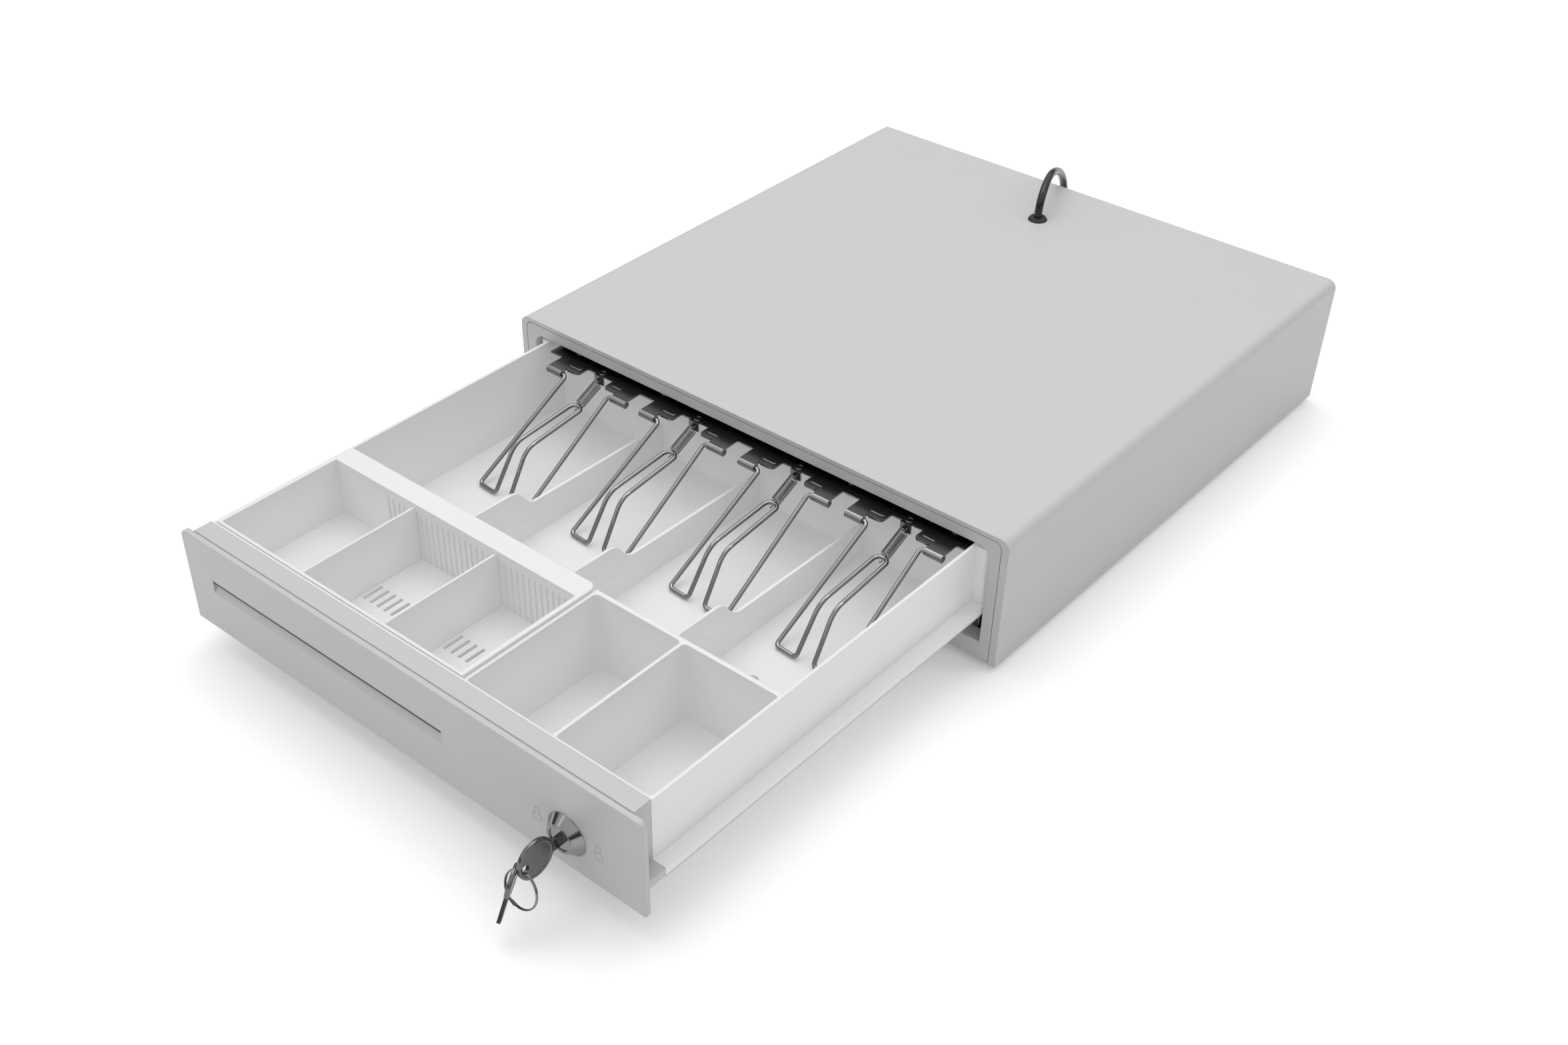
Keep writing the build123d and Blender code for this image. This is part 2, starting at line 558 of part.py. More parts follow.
def make_lock():
    face = PLATE_Y - 5.6
    with BuildPart() as body:
        rod_y(LOCK_X, PLATE_Y, PLATE_Y + 11, LOCK_Z, LOCK_HOLE_R - 0.1)
        with BuildSketch(front_plane(PLATE_Y)):
            with Locations((LOCK_X, LOCK_Z)):
                Circle(14.0)
        extrude(amount=PLATE_Y - face, taper=38)
        rod_y(LOCK_X, face - 1, PLATE_Y + 12, LOCK_Z, CORE_R + HINGE_GAP, Mode.SUBTRACT)
    save(body.part, "lock_body")
    with BuildPart() as nut:
        with BuildSketch(front_plane(PLATE_Y + PLATE_THICK + 3)):
            with Locations((LOCK_X, LOCK_Z)):
                RegularPolygon(12.5, 6)
                Circle(LOCK_HOLE_R, mode=Mode.SUBTRACT)
        extrude(amount=3)
    save(nut.part, "lock_nut")
    with BuildPart() as core:
        rod_y(LOCK_X, face + 0.6, PLATE_Y + 13.6, LOCK_Z, CORE_R)
        box_between(
            (LOCK_X - KEY_THICK / 2 - 0.2, face - 1, LOCK_Z - 4.1),
            (LOCK_X + KEY_THICK / 2 + 0.2, PLATE_Y + 9, LOCK_Z + 4.1),
            Mode.SUBTRACT,
        )
    save(core.part, "lock_core")
    cam_y = PLATE_Y + 12.4
    with BuildPart() as cam:
        box_between((LOCK_X - 29, cam_y, LOCK_Z - 5), (LOCK_X + 7, cam_y + 1.1, LOCK_Z + 5))
        fillet(cam.edges().filter_by(Axis.Y), 4)
        rod_y(LOCK_X, cam_y, cam_y + 1.1, LOCK_Z, 8.8)
        rod_y(LOCK_X, cam_y - 1, cam_y + 2, LOCK_Z, CORE_R + 0.02, Mode.SUBTRACT)
    save(cam.part, "lock_cam")


def flat_key(origin_plane, bow_radius, blade, name, hole_offset):
    """A flat key in its own plane: the bow at the origin, the blade along sketch +X."""
    with BuildPart() as key:
        with BuildSketch(origin_plane):
            Circle(bow_radius)
            with Locations((bow_radius + blade / 2 - 2, 0)):
                Rectangle(blade + 4, 7.6)
            with Locations(hole_offset):
                Circle(KEY_HOLE_R, mode=Mode.SUBTRACT)
        extrude(amount=KEY_THICK / 2, both=True)
    save(key.part, name)


def make_keys():
    key_plane = Plane((LOCK_X, BOW_Y, LOCK_Z), x_dir=(0, 1, 0), z_dir=(1, 0, 0))
    flat_key(key_plane, BOW_R, 18.0, "key", (KEY_HOLE[0] - BOW_Y, KEY_HOLE[1] - LOCK_Z))
    tilt = radians(RING_TILT)
    top = Vector(LOCK_X, KEY_HOLE[0], KEY_HOLE[1] - KEY_HOLE_R + RING_WIRE + 0.3)
    centre = top - Vector(0, RING_R * sin(tilt), RING_R * cos(tilt))
    ring_plane = Plane(centre, x_dir=(1, 0, 0), z_dir=(0, cos(tilt), -sin(tilt)))
    with BuildPart() as ring:
        with Locations(ring_plane.location):
            Torus(RING_R, RING_WIRE)
    save(ring.part, "key_ring")
    across = SPARE_X - LOCK_X
    drop = (RING_R**2 - across**2) ** 0.5
    wire_at = centre + Vector(across, drop * sin(tilt), drop * cos(tilt))
    down = Vector(*SPARE_DOWN)
    hole = wire_at + down * (KEY_HOLE_R - RING_WIRE - 1.6)
    spare_plane = Plane(hole + down * SPARE_HOLE, x_dir=down, z_dir=SPARE_FACE)
    flat_key(spare_plane, SPARE_BOW_R, SPARE_BLADE, "spare_key", (-SPARE_HOLE, 0))


# ---------------------------------------------------------------- latch mechanism at the back
HOOK_PIVOT = (352.0, 22.0)    # Y and Z of the latch hook's pin
HOOK_SWING = 22.0             # degrees from released to engaged
STAPLE_Y, STAPLE_Z, STAPLE_R = 36.0, 40.0, 2.5
COIL_Y = 370.0
TAIL_PIN_Z = HOOK_PIVOT[1] + (COIL_Y - HOOK_PIVOT[0]) * tan(radians(HOOK_SWING))   # at rest, released
FRAME_Z = (42.0, 82.0)
PLUNGER_R = 4.0
TAIL_SLOT = 18.7              # from the pivot to the middle of the tail's slot
TAIL_PIN_R = 1.35


def make_staple():
    points = [(-12, TRAY_BACK, STAPLE_Z), (-12, STAPLE_Y, STAPLE_Z), (12, STAPLE_Y, STAPLE_Z), (12, TRAY_BACK, STAPLE_Z)]
    swept_wire(points, 5, STAPLE_R, "latch_staple")


def hook_plane(x, turned):
    """The hook's own plane: its engaged drawing turned back by an angle about the pivot pin."""
    angle = radians(turned)
    return Plane((x, *HOOK_PIVOT), x_dir=(0, cos(angle), sin(angle)), z_dir=(1, 0, 0))


def make_latch():
    with BuildPart() as hook:
        with BuildSketch(hook_plane(-1.5, HOOK_SWING)):
            with BuildLine():
                Polyline(
                    (-23, 8), (-23, 20), (-18.5, 20), (-17.6, 14.8), (-6, 14.8), (6, 7),
                    (24, 4), (24, -4), (6, -7), (-6, -7), (-12, 6), close=True,
                )
            make_face()
            Circle(2.0 + HINGE_GAP, mode=Mode.SUBTRACT)
            with Locations((TAIL_SLOT, 0)):
                SlotOverall(5.2, 3.2, mode=Mode.SUBTRACT)
        extrude(amount=3)
    save(hook.part, "latch_hook")
    with BuildPart() as plate:
        box_between((-34, 334, BASE_TOP), (34, 408, BASE_TOP + 1.2))
        for side in (-1, 1):
            xs = sorted((side * 3.0, side * 4.2))
            box_between((xs[0], 344, BASE_TOP), (xs[1], 360, HOOK_PIVOT[1] + 5))
        rod_x(-6, 6, HOOK_PIVOT[0], HOOK_PIVOT[1], 2.02, Mode.SUBTRACT)
    save(plate.part, "latch_bracket")
    with BuildPart() as pin:
        rod_x(-6, 6, HOOK_PIVOT[0], HOOK_PIVOT[1], 2.0)
    save(pin.part, "latch_pin")


def make_solenoid():
    y, (low, high) = COIL_Y, FRAME_Z
    with BuildPart() as frame:
        box_between((-15, y - 13, low), (15, y + 13, high))
        box_between((-13, y - 14, low + 2), (13, y + 14, high - 2), Mode.SUBTRACT)
        rod_z(0, y, low - 1, high + 1, PLUNGER_R + 0.3, Mode.SUBTRACT)
        for side in (-1, 1):
            xs = sorted((side * 15, side * 16.5))
            box_between((xs[0], y + 4, BASE_TOP + 1.2), (xs[1], y + 13, high))
    save(frame.part, "solenoid_frame")
    with BuildPart() as coil:
        rod_z(0, y, low + 2, high - 2, 12.4)
        rod_z(0, y, low + 1, high - 1, PLUNGER_R + HINGE_GAP, Mode.SUBTRACT)
    save(coil.part, "solenoid_coil")
    ears_top = TAIL_PIN_Z + 7
    with BuildPart() as plunger:
        rod_z(0, y, ears_top, high - 14, PLUNGER_R)
        box_between((-5, y - 5, TAIL_PIN_Z - 3), (5, y + 5, ears_top))
        box_between((-1.9, y - 6, TAIL_PIN_Z - 4), (1.9, y + 6, ears_top - 1), Mode.SUBTRACT)
        rod_x(-5, 5, y, TAIL_PIN_Z, TAIL_PIN_R)
    save(plunger.part, "solenoid_plunger")
    with BuildPart() as spring:
        rod_z(0, y, ears_top, low, 5.6)
        rod_z(0, y, ears_top - 1, low + 1, PLUNGER_R + 0.4, Mode.SUBTRACT)
    save(spring.part, "plunger_spring")


def make_ejector():
    with BuildPart() as block:
        box_between((62, 373, BASE_TOP), (88, 374.2, 46))
        box_between((62, 374.2, BASE_TOP), (88, 396, BASE_TOP + 1.2))
        rod_y(75, 330, 373, 34, 3.0)
    save(block.part, "ejector_bracket")
    with BuildPart() as spring:
        rod_y(75, 304, 373, 34, 6.0)
        rod_y(75, 303, 374, 34, 4.4, Mode.SUBTRACT)
    save(spring.part, "ejector_spring")


def make_switch():
    with BuildPart() as switch:
        box_between((-70, 346, BASE_TOP), (-60, 366, 24))
    save(switch.part, "drawer_switch")
    with BuildPart() as lever:
        rod_x(-68, -62, 364, 26.2, 1.0)
        box_between((-67, 330, 25.6), (-63, 364, 26.2))
    save(lever.part, "switch_lever")


# ---------------------------------------------------------------- cable
CABLE_ROUTE = [
    (-12.0, 360.0, GROMMET_FACE),
    (-12.0, 360.0, 109.0),
    (-13.2, 364.6, 118.0),
    (-16.4, 374.2, 123.6),
    (-21.0, 386.6, 124.2),
    (-26.5, 402.6, 120.2),
    (-31.2, 418.9, 112.2),
    (-34.4, 431.4, 99.8),
    (-36.8, 439.6, 83.4),
    (-38.0, 444.2, 64.0),
    (-37.0, 446.4, 43.0),
    (-31.5, 446.8, 25.0),
    (-19.5, 446.0, 11.6),
    (-3.5, 444.6, 4.8),
    (13.0, 443.4, 3.2),
    (28.0, 443.0, 3.0),
]
COIL_CENTRE = (29.0, 480.0)
COIL_TURN_R = 34.0            # mean radius of the put-away turns
COIL_HEIGHT = 8 * CABLE_R
PLUG_SIZE = (12.0, 22.0, 8.0)


def turn_at(before, corner, after):
    """The angle in degrees that the route turns by at a corner."""
    return (Vector(*corner) - Vector(*before)).get_angle(Vector(*after) - Vector(*corner))


def route_bends(points):
    """The largest arc that each corner's two runs allow."""
    bends = []
    for before, corner, after in zip(points, points[1:], points[2:]):
        shorter = min((Vector(*corner) - Vector(*before)).length, (Vector(*after) - Vector(*corner)).length)
        bends.append(0.45 * shorter / tan(radians(turn_at(before, corner, after) / 2)))
    return bends


def make_cable():
    bends = route_bends(CABLE_ROUTE)
    print("cable bend radii", [round(b, 1) for b in bends])
    with BuildPart() as tube:
        with BuildLine() as path:
            FilletPolyline(*CABLE_ROUTE, radius=bends)
        with BuildSketch(path.wire() ^ 0):
            Circle(CABLE_R)
        sweep()
    length = path.wire().length
    print("cable tube length", round(length, 1), "volume ratio", round(tube.part.volume / (length * pi * CABLE_R**2), 4))
    save(tube.part, "cable_tube")
    x, y = COIL_CENTRE
    with BuildPart() as coil:
        rod_z(x, y, 0, COIL_HEIGHT, COIL_TURN_R + 2 * CABLE_R)
        rod_z(x, y, -1, COIL_HEIGHT + 1, COIL_TURN_R - 2 * CABLE_R, Mode.SUBTRACT)
    save(coil.part, "cable_coil")
    with BuildPart() as plug:
        low = (x - PLUG_SIZE[0] / 2 + COIL_TURN_R, y - PLUG_SIZE[1] / 2, COIL_HEIGHT)
        box_between(low, [low[i] + PLUG_SIZE[i] for i in range(3)])
    save(plug.part, "cable_plug")


make_housing_shell()
make_front_bezel()
make_base_plate()
make_rear_panel()
make_feet()
make_rear_screws()
make_grommet()
make_rails()
make_drawer_front()
make_tray()
make_coin_insert()
make_clip_strip()
for index, clip_x in enumerate(CLIP_CENTRES, 1):
    make_bill_clip(index, clip_x)
    make_clip_spring(index, clip_x)
make_lock()
make_keys()
make_staple()
make_latch()
make_solenoid()
make_ejector()
make_switch()
make_cable()
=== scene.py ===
import json
from math import atan2, cos, pi, radians, sin

import bmesh
import bpy
from mathutils import Matrix, Vector


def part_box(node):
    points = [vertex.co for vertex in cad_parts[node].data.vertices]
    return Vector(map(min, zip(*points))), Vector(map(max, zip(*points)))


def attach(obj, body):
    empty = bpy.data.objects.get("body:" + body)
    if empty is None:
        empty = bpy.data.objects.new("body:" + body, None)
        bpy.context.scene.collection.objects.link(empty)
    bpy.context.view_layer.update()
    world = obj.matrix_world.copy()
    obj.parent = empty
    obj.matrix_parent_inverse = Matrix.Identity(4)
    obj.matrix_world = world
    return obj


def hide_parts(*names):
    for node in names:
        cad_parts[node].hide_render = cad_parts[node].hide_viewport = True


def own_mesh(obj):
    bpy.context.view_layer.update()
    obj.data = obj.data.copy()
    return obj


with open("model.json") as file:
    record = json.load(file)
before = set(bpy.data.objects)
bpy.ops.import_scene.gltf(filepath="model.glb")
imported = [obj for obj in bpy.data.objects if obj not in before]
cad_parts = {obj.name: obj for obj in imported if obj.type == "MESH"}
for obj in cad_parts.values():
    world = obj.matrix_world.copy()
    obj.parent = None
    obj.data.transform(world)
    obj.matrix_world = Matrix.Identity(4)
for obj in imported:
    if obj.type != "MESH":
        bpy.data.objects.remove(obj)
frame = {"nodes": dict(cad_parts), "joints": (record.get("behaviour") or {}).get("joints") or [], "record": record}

MM = 0.001
RIGHT, BACK, UP = Vector((1, 0, 0)), Vector((0, 1, 0)), Vector((0, 0, 1))
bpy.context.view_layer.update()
BODIES = frame["record"]["behaviour"]["bodies"]
BODY_OF = {node: body for body, nodes in BODIES.items() for node in nodes}
SLOT_OF = {row["node"]: row["material_slot"] for row in frame["record"]["subparts"]}
JOINT_AT = {joint["name"]: Vector(joint["pos_m"]) for joint in frame["joints"] if "pos_m" in joint}


# ---------------------------------------------------------------- camera
def make_camera():
    """The camera stands in front of the right-hand corner, at the photograph's angle."""
    data = bpy.data.cameras.new("camera")
    data.sensor_width = 36.0
    data.lens = 41.455
    data.shift_x = 0.0452
    data.shift_y = 0.0694
    data.clip_start = 0.01
    data.clip_end = 50.0
    camera = bpy.data.objects.new("camera", data)
    bpy.context.scene.collection.objects.link(camera)
    camera.location = Vector((0.63243, -0.75409, 0.73343))
    target = Vector((-0.0254, -0.0009, -0.0907))
    camera.rotation_mode = "QUATERNION"
    camera.rotation_quaternion = (target - camera.location).to_track_quat("-Z", "Y")
    bpy.context.scene.camera = camera


# ---------------------------------------------------------------- materials
def finish_material(
    name,
    colour,
    roughness,
    metallic=0.0,
    grain=(3000.0, 0.1, 0.02),
    stretch=(1.0, 1.0, 1.0),
    blotch=(40.0, 0.04),
    edge=0.3,
    coat=0.0,
    transmission=0.0,
    glow=0.0,
):
    """A surface with a fine grain, slow changes of tone and gloss, and softened edges.

    grain is the noise scale per metre, the bump's strength and its depth in millimetres;
    blotch is the scale of the slow changes and how far they take the colour. glow is light
    that the surface gives off of its own, though it is no lamp: painted light on the white plastic, an even glow
    on the floor.
    """
    material = bpy.data.materials.new(name)
    material.use_nodes = True
    nodes, links = material.node_tree.nodes, material.node_tree.links
    shader = nodes["Principled BSDF"]
    shader.inputs["Metallic"].default_value = metallic
    shader.inputs["Coat Weight"].default_value = coat
    shader.inputs["Coat Roughness"].default_value = 0.1
    shader.inputs["Transmission Weight"].default_value = transmission
    shader.inputs["Emission Color"].default_value = (1, 1, 1, 1)
    shader.inputs["Emission Strength"].default_value = glow
    place = nodes.new("ShaderNodeTexCoord")
    spread = nodes.new("ShaderNodeMapping")
    spread.inputs["Scale"].default_value = stretch
    links.new(place.outputs["Object"], spread.inputs["Vector"])

    fine = nodes.new("ShaderNodeTexNoise")
    fine.inputs["Scale"].default_value = grain[0]
    fine.inputs["Detail"].default_value = 3.0
    links.new(spread.outputs["Vector"], fine.inputs["Vector"])
    slow = nodes.new("ShaderNodeTexNoise")
    slow.inputs["Scale"].default_value = blotch[0]
    slow.inputs["Detail"].default_value = 4.0
    links.new(spread.outputs["Vector"], slow.inputs["Vector"])

    tone = nodes.new("ShaderNodeMix")
    tone.data_type = "RGBA"
    darker = [c * (1 - blotch[1]) for c in colour]
    lighter = [min(1.0, c * (1 + blotch[1])) for c in colour]
    tone.inputs["A"].default_value = (*darker, 1)
    tone.inputs["B"].default_value = (*lighter, 1)
    links.new(slow.outputs["Fac"], tone.inputs["Factor"])
    links.new(tone.outputs["Result"], shader.inputs["Base Color"])

    gloss = nodes.new("ShaderNodeMapRange")
    gloss.inputs["To Min"].default_value = roughness * 0.8
    gloss.inputs["To Max"].default_value = min(1.0, roughness * 1.2)
    links.new(fine.outputs["Fac"], gloss.inputs["Value"])
    links.new(gloss.outputs["Result"], shader.inputs["Roughness"])

    relief = nodes.new("ShaderNodeBump")
    relief.inputs["Strength"].default_value = grain[1]
    relief.inputs["Distance"].default_value = grain[2] * MM
    links.new(fine.outputs["Fac"], relief.inputs["Height"])
    if edge:
        soft = nodes.new("ShaderNodeBevel")
        soft.samples = 4
        soft.inputs["Radius"].default_value = edge * MM
        links.new(soft.outputs["Normal"], relief.inputs["Normal"])
    links.new(relief.outputs["Normal"], shader.inputs["Normal"])
    return material


def grey(value):
    return (value, value, value)


MATERIALS = {
    "painted_steel": finish_material(
        "painted_steel", grey(0.485), 0.48, grain=(1800.0, 0.35, 0.03), blotch=(25.0, 0.015), edge=0.6
    ),
    "grey_plastic": finish_material(
        "grey_plastic", grey(0.47), 0.42, grain=(2200.0, 0.25, 0.03), blotch=(25.0, 0.012), edge=0.7
    ),
    # painted light: glow makes the white plastic give off a little light of its own, which brightens it everywhere
    "white_plastic": finish_material(
        "white_plastic",
        grey(0.56),
        0.36,
        grain=(2600.0, 0.12, 0.02),
        blotch=(30.0, 0.012),
        edge=0.6,
        glow=0.15,
    ),
    # painted shade: near-black colour for the sheet that stands for the shadow inside the casing
    "painted_shade": finish_material("painted_shade", grey(0.012), 0.6, grain=(1500.0, 0.2, 0.02), edge=0),
    "black_rubber": finish_material("black_rubber", grey(0.02), 0.62, grain=(900.0, 0.3, 0.04)),
    "cable_jacket": finish_material("cable_jacket", grey(0.012), 0.22, grain=(700.0, 0.06, 0.03), edge=0),
    "clear_plastic": finish_material("clear_plastic", grey(0.85), 0.12, edge=0.2, transmission=0.6),
    "zinc_steel": finish_material(
        "zinc_steel", grey(0.50), 0.36, 1.0, grain=(1500.0, 0.2, 0.02), blotch=(260.0, 0.16)
    ),
    "spring_steel": finish_material(
        "spring_steel", grey(0.24), 0.24, 1.0, grain=(1200.0, 0.1, 0.01), blotch=(300.0, 0.1), edge=0
    ),
    "chrome": finish_material(
        "chrome", grey(0.26), 0.08, 1.0, grain=(500.0, 0.05, 0.01), blotch=(120.0, 0.12), edge=0
    ),
    "nickel_brass": finish_material(
        "nickel_brass", grey(0.16), 0.24, 1.0, grain=(1400.0, 0.25, 0.03), blotch=(350.0, 0.2)
    ),
    "coil_winding": finish_material(
        "coil_winding", (0.55, 0.40, 0.10), 0.35, grain=(300.0, 0.6, 0.2), stretch=(0.1, 0.1, 14.0), coat=0.4
    ),
    "black_plastic": finish_material("black_plastic", grey(0.03), 0.45, grain=(1600.0, 0.2, 0.02)),
    "nylon": finish_material("nylon", (0.78, 0.77, 0.73), 0.4, grain=(1500.0, 0.1, 0.02)),
}


def dress(piece, slot):
    """Give a piece the one material of its slot."""
    piece.data.materials.clear()
    piece.data.materials.append(MATERIALS[slot])


def dress_cad_nodes():
    for name, node in frame["nodes"].items():
        dress(node, SLOT_OF[name])


# ---------------------------------------------------------------- floor and light
def make_stage():
    mesh = bpy.data.meshes.new("floor")
    half = 6.0
    corners = [(-half, -half, 0), (half, -half, 0), (half, half, 0), (-half, half, 0)]
    mesh.from_pydata(corners, [], [(0, 1, 2, 3)])
    floor = bpy.data.objects.new("floor", mesh)
    bpy.context.scene.collection.objects.link(floor)
    floor.data.materials.append(
        finish_material(
            "floor_paper", grey(0.86), 0.8, grain=(400.0, 0.05, 0.02), blotch=(3.0, 0.01), edge=0, glow=0.14
        )
    )


def area_light(name, place, target, size, watts):
    data = bpy.data.lights.new(name, "AREA")
    data.shape = "RECTANGLE"
    data.size, data.size_y = size
    data.energy = watts
    lamp = bpy.data.objects.new(name, data)
    bpy.context.scene.collection.objects.link(lamp)
    lamp.location = place
    lamp.rotation_mode = "QUATERNION"
    lamp.rotation_quaternion = (Vector(target) - Vector(place)).to_track_quat("-Z", "Y")


def make_light():
    """A broad soft light overhead, a weak one in front, and a room with light and dark bands."""
    area_light("softbox_overhead", (-0.4, 0.3, 1.9), (0, 0, 0), (1.8, 1.4), 15)
    area_light("softbox_front", (-0.9, -1.9, 1.1), (0, -0.1, 0), (1.2, 0.9), 2.5)
    area_light("strip_light", (0.9, 0.5, 1.3), (0, -0.1, 0), (0.06, 1.2), 1.6)
    world = bpy.data.worlds.new("studio")
    world.use_nodes = True
    nodes, links = world.node_tree.nodes, world.node_tree.links
    place = nodes.new("ShaderNodeTexCoord")
    split = nodes.new("ShaderNodeSeparateXYZ")
    height = nodes.new("ShaderNodeMapRange")
    height.inputs["From Min"].default_value = -1.0
    height.inputs["From Max"].default_value = 1.0
    bands = nodes.new("ShaderNodeValToRGB")
    stops = bands.color_ramp.elements
    stops[0].position = 0.0
    stops[0].color = (0.85, 0.85, 0.85, 1)
    stops[1].position = 1.0
    stops[1].color = (1.0, 1.0, 1.0, 1)
    for position, value in ((0.49, 0.75), (0.53, 0.10), (0.64, 0.16), (0.70, 1.0)):
        stop = stops.new(position)
        stop.color = (value, value, value, 1)
    links.new(place.outputs["Generated"], split.inputs["Vector"])
    links.new(split.outputs["Z"], height.inputs["Value"])
    links.new(height.outputs["Result"], bands.inputs["Fac"])
    links.new(bands.outputs["Color"], nodes["Background"].inputs["Color"])
    nodes["Background"].inputs["Strength"].default_value = 0.95
    bpy.context.scene.world = world
    bpy.context.scene.view_settings.view_transform = "Standard"


# ---------------------------------------------------------------- cable
CABLE_D = 6 * MM
CABLE_ROUTE = [
    (-12.0, 360.0, 102.0),
    (-12.0, 360.0, 109.0),
    (-13.2, 364.6, 118.0),
    (-16.4, 374.2, 123.6),
    (-21.0, 386.6, 124.2),
    (-26.5, 402.6, 120.2),
    (-31.2, 418.9, 112.2),
    (-34.4, 431.4, 99.8),
    (-36.8, 439.6, 83.4),
    (-38.0, 444.2, 64.0),
    (-37.0, 446.4, 43.0),
    (-31.5, 446.8, 25.0),
    (-19.5, 446.0, 11.6),
    (-3.5, 444.6, 4.8),
    (13.0, 443.4, 3.2),
    (28.0, 443.0, 3.0),
]
# where the coil's turns lie, in cable diameters: radius from the middle turn, and height
TURN_SLOTS = [
    (0.5, 0.5),
    (-0.5, 0.5),
    (-0.5, 1.5),
    (0.5, 1.5),
    (0.5, 2.5),
    (-0.5, 2.5),
    (0.0, 3.4),
    (0.0, 4.5),
]
POINTS_PER_TURN = 16


def coil_points(centre, middle_radius, end_angle):
    """The put-away turns: each turn moves to the next slot, a little earlier on its way round."""
    window = 2 * pi / (len(TURN_SLOTS) - 1)
    step = 2 * pi / POINTS_PER_TURN
    points = []
    angle = step
    last = 2 * pi * (len(TURN_SLOTS) - 2) + end_angle
    while angle < last:
        turn = int(angle // (2 * pi))
        along = angle - turn * 2 * pi
        start = (len(TURN_SLOTS) - 2 - turn) * window
        share = min(1.0, max(0.0, (along - start) / window))
        share = share * share * (3 - 2 * share)
        here, after = TURN_SLOTS[turn], TURN_SLOTS[turn + 1]
        out = (here[0] + (after[0] - here[0]) * share) * CABLE_D
        up = (here[1] + (after[1] - here[1]) * share) * CABLE_D
        radius = (middle_radius + out) / cos(step / 2)
        turned = angle - pi / 2
        points.append((centre[0] + radius * cos(turned), centre[1] + radius * sin(turned), up))
        angle += step
    return points


def nurbs_cord(name, points, diameter, slot):
    data = bpy.data.curves.new(name, "CURVE")
    data.dimensions = "3D"
    data.bevel_depth = diameter / 2
    data.bevel_resolution = 5
    data.resolution_u = 6
    data.use_fill_caps = True
    spline = data.splines.new("NURBS")
    spline.points.add(len(points) - 1)
    for point, place in zip(spline.points, points):
        point.co = (*place, 1)
    spline.order_u = 3
    spline.use_endpoint_u = True
    piece = bpy.data.objects.new(name, data)
    bpy.context.scene.collection.objects.link(piece)
    dress(piece, slot)
    return piece


def new_piece(name, mesh, slot, body, *stands_for):
    """Link a finished mesh as a piece that rides on a body and stands for CAD nodes."""
    piece = bpy.data.objects.new(name, mesh)
    bpy.context.scene.collection.objects.link(piece)
    dress(piece, slot)
    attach(piece, body)
    if stands_for:
        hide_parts(*stands_for)
    return piece


def make_cable():
    ring_low, ring_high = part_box("cable_coil")
    plug_low, plug_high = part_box("cable_plug")
    centre = (ring_low + ring_high) / 2
    middle = (ring_high.x - ring_low.x) / 2 - CABLE_D
    plug_start = Vector(((plug_low.x + plug_high.x) / 2, plug_low.y, (plug_low.z + plug_high.z) / 2))
    end_angle = atan2(plug_start.y - centre.y, plug_start.x - centre.x) + pi / 2 - 0.12
    points = [Vector(p) * MM for p in CABLE_ROUTE]
    points += [Vector(p) for p in coil_points(centre, middle, end_angle)]
    points.append(plug_start + Vector((0, 3 * MM, 0)))
    cable = nurbs_cord("cable", points, CABLE_D, "cable_jacket")
    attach(cable, "casing")
    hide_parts("cable_tube", "cable_coil")
    tie = make_cable_tie()


# ---------------------------------------------------------------- springs
POINTS_PER_COIL = 12
HOOK_SIZE = 0.8               # an end loop's radius, as a share of the coil's
CLIP_SPRING_START = (-22.2, 68.1)  # Y and Z beside the clip's loop
CLIP_SPRING_END = (-4.2, 76.2)     # Y and Z beside the strip's tab
CLIP_SPRING_RADIUS = 3.6
CLIP_SPRING_WIRE = 0.8
CLIP_SPRING_TURNS = 15
OPEN_TRAVEL = 302.0


def helix_wire(name, start, end, outer_radius, wire, turns, body, node, hooks=True):
    """A coil spring between two points, with its end loops, as a NURBS wire."""
    axis = (end - start).normalized()
    side = axis.orthogonal().normalized()
    other = axis.cross(side)
    radius = outer_radius - wire / 2
    count = turns * POINTS_PER_COIL
    points = []
    if hooks:
        points += hook_loop(start, axis, side, radius * HOOK_SIZE, -1)
    for i in range(count + 1):
        angle = 2 * pi * i / POINTS_PER_COIL
        along = start + (end - start) * (i / count)
        out = radius / cos(pi / POINTS_PER_COIL)
        points.append(along + (side * cos(angle) + other * sin(angle)) * out)
    if hooks:
        points += hook_loop(end, axis, side, radius * HOOK_SIZE, 1)
    spring = nurbs_cord(name, points, wire, "spring_steel")
    spring.data.bevel_resolution = 3
    spring.data.resolution_u = 4
    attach(spring, body)
    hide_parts(node)
    return spring


def curve_to_mesh(piece, name, slot, body, node):
    """The same piece as a mesh, which can be squashed."""
    bpy.context.view_layer.update()
    graph = bpy.context.evaluated_depsgraph_get()
    mesh = bpy.data.meshes.new_from_object(piece.evaluated_get(graph))
    bpy.data.objects.remove(piece)
    return new_piece(name, mesh, slot, body, node)


def hook_loop(at, axis, side, radius, way):
    """The open loop at a spring's end, in the plane of its axis and its side."""
    steps = 8
    centre = at + axis * way * (radius + 0.6 * MM)
    loop = []
    for i in range(steps + 1):
        angle = radians(-60 + 300 * i / steps)
        loop.append(centre + (side * sin(angle) - axis * way * cos(angle)) * radius)
    return loop if way > 0 else loop[::-1]


def make_clip_springs():
    for number in range(1, 5):
        node = f"clip_spring_{number}"
        low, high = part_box(node)
        middle_x = (low.x + high.x) / 2
        start, end = (
            Vector((middle_x, y * MM, z * MM)) for y, z in (CLIP_SPRING_START, CLIP_SPRING_END)
        )
        radius, wire = CLIP_SPRING_RADIUS * MM, CLIP_SPRING_WIRE * MM
        helix_wire(f"clip_spring_{number}_wire", start, end, radius, wire, CLIP_SPRING_TURNS, "drawer", node)


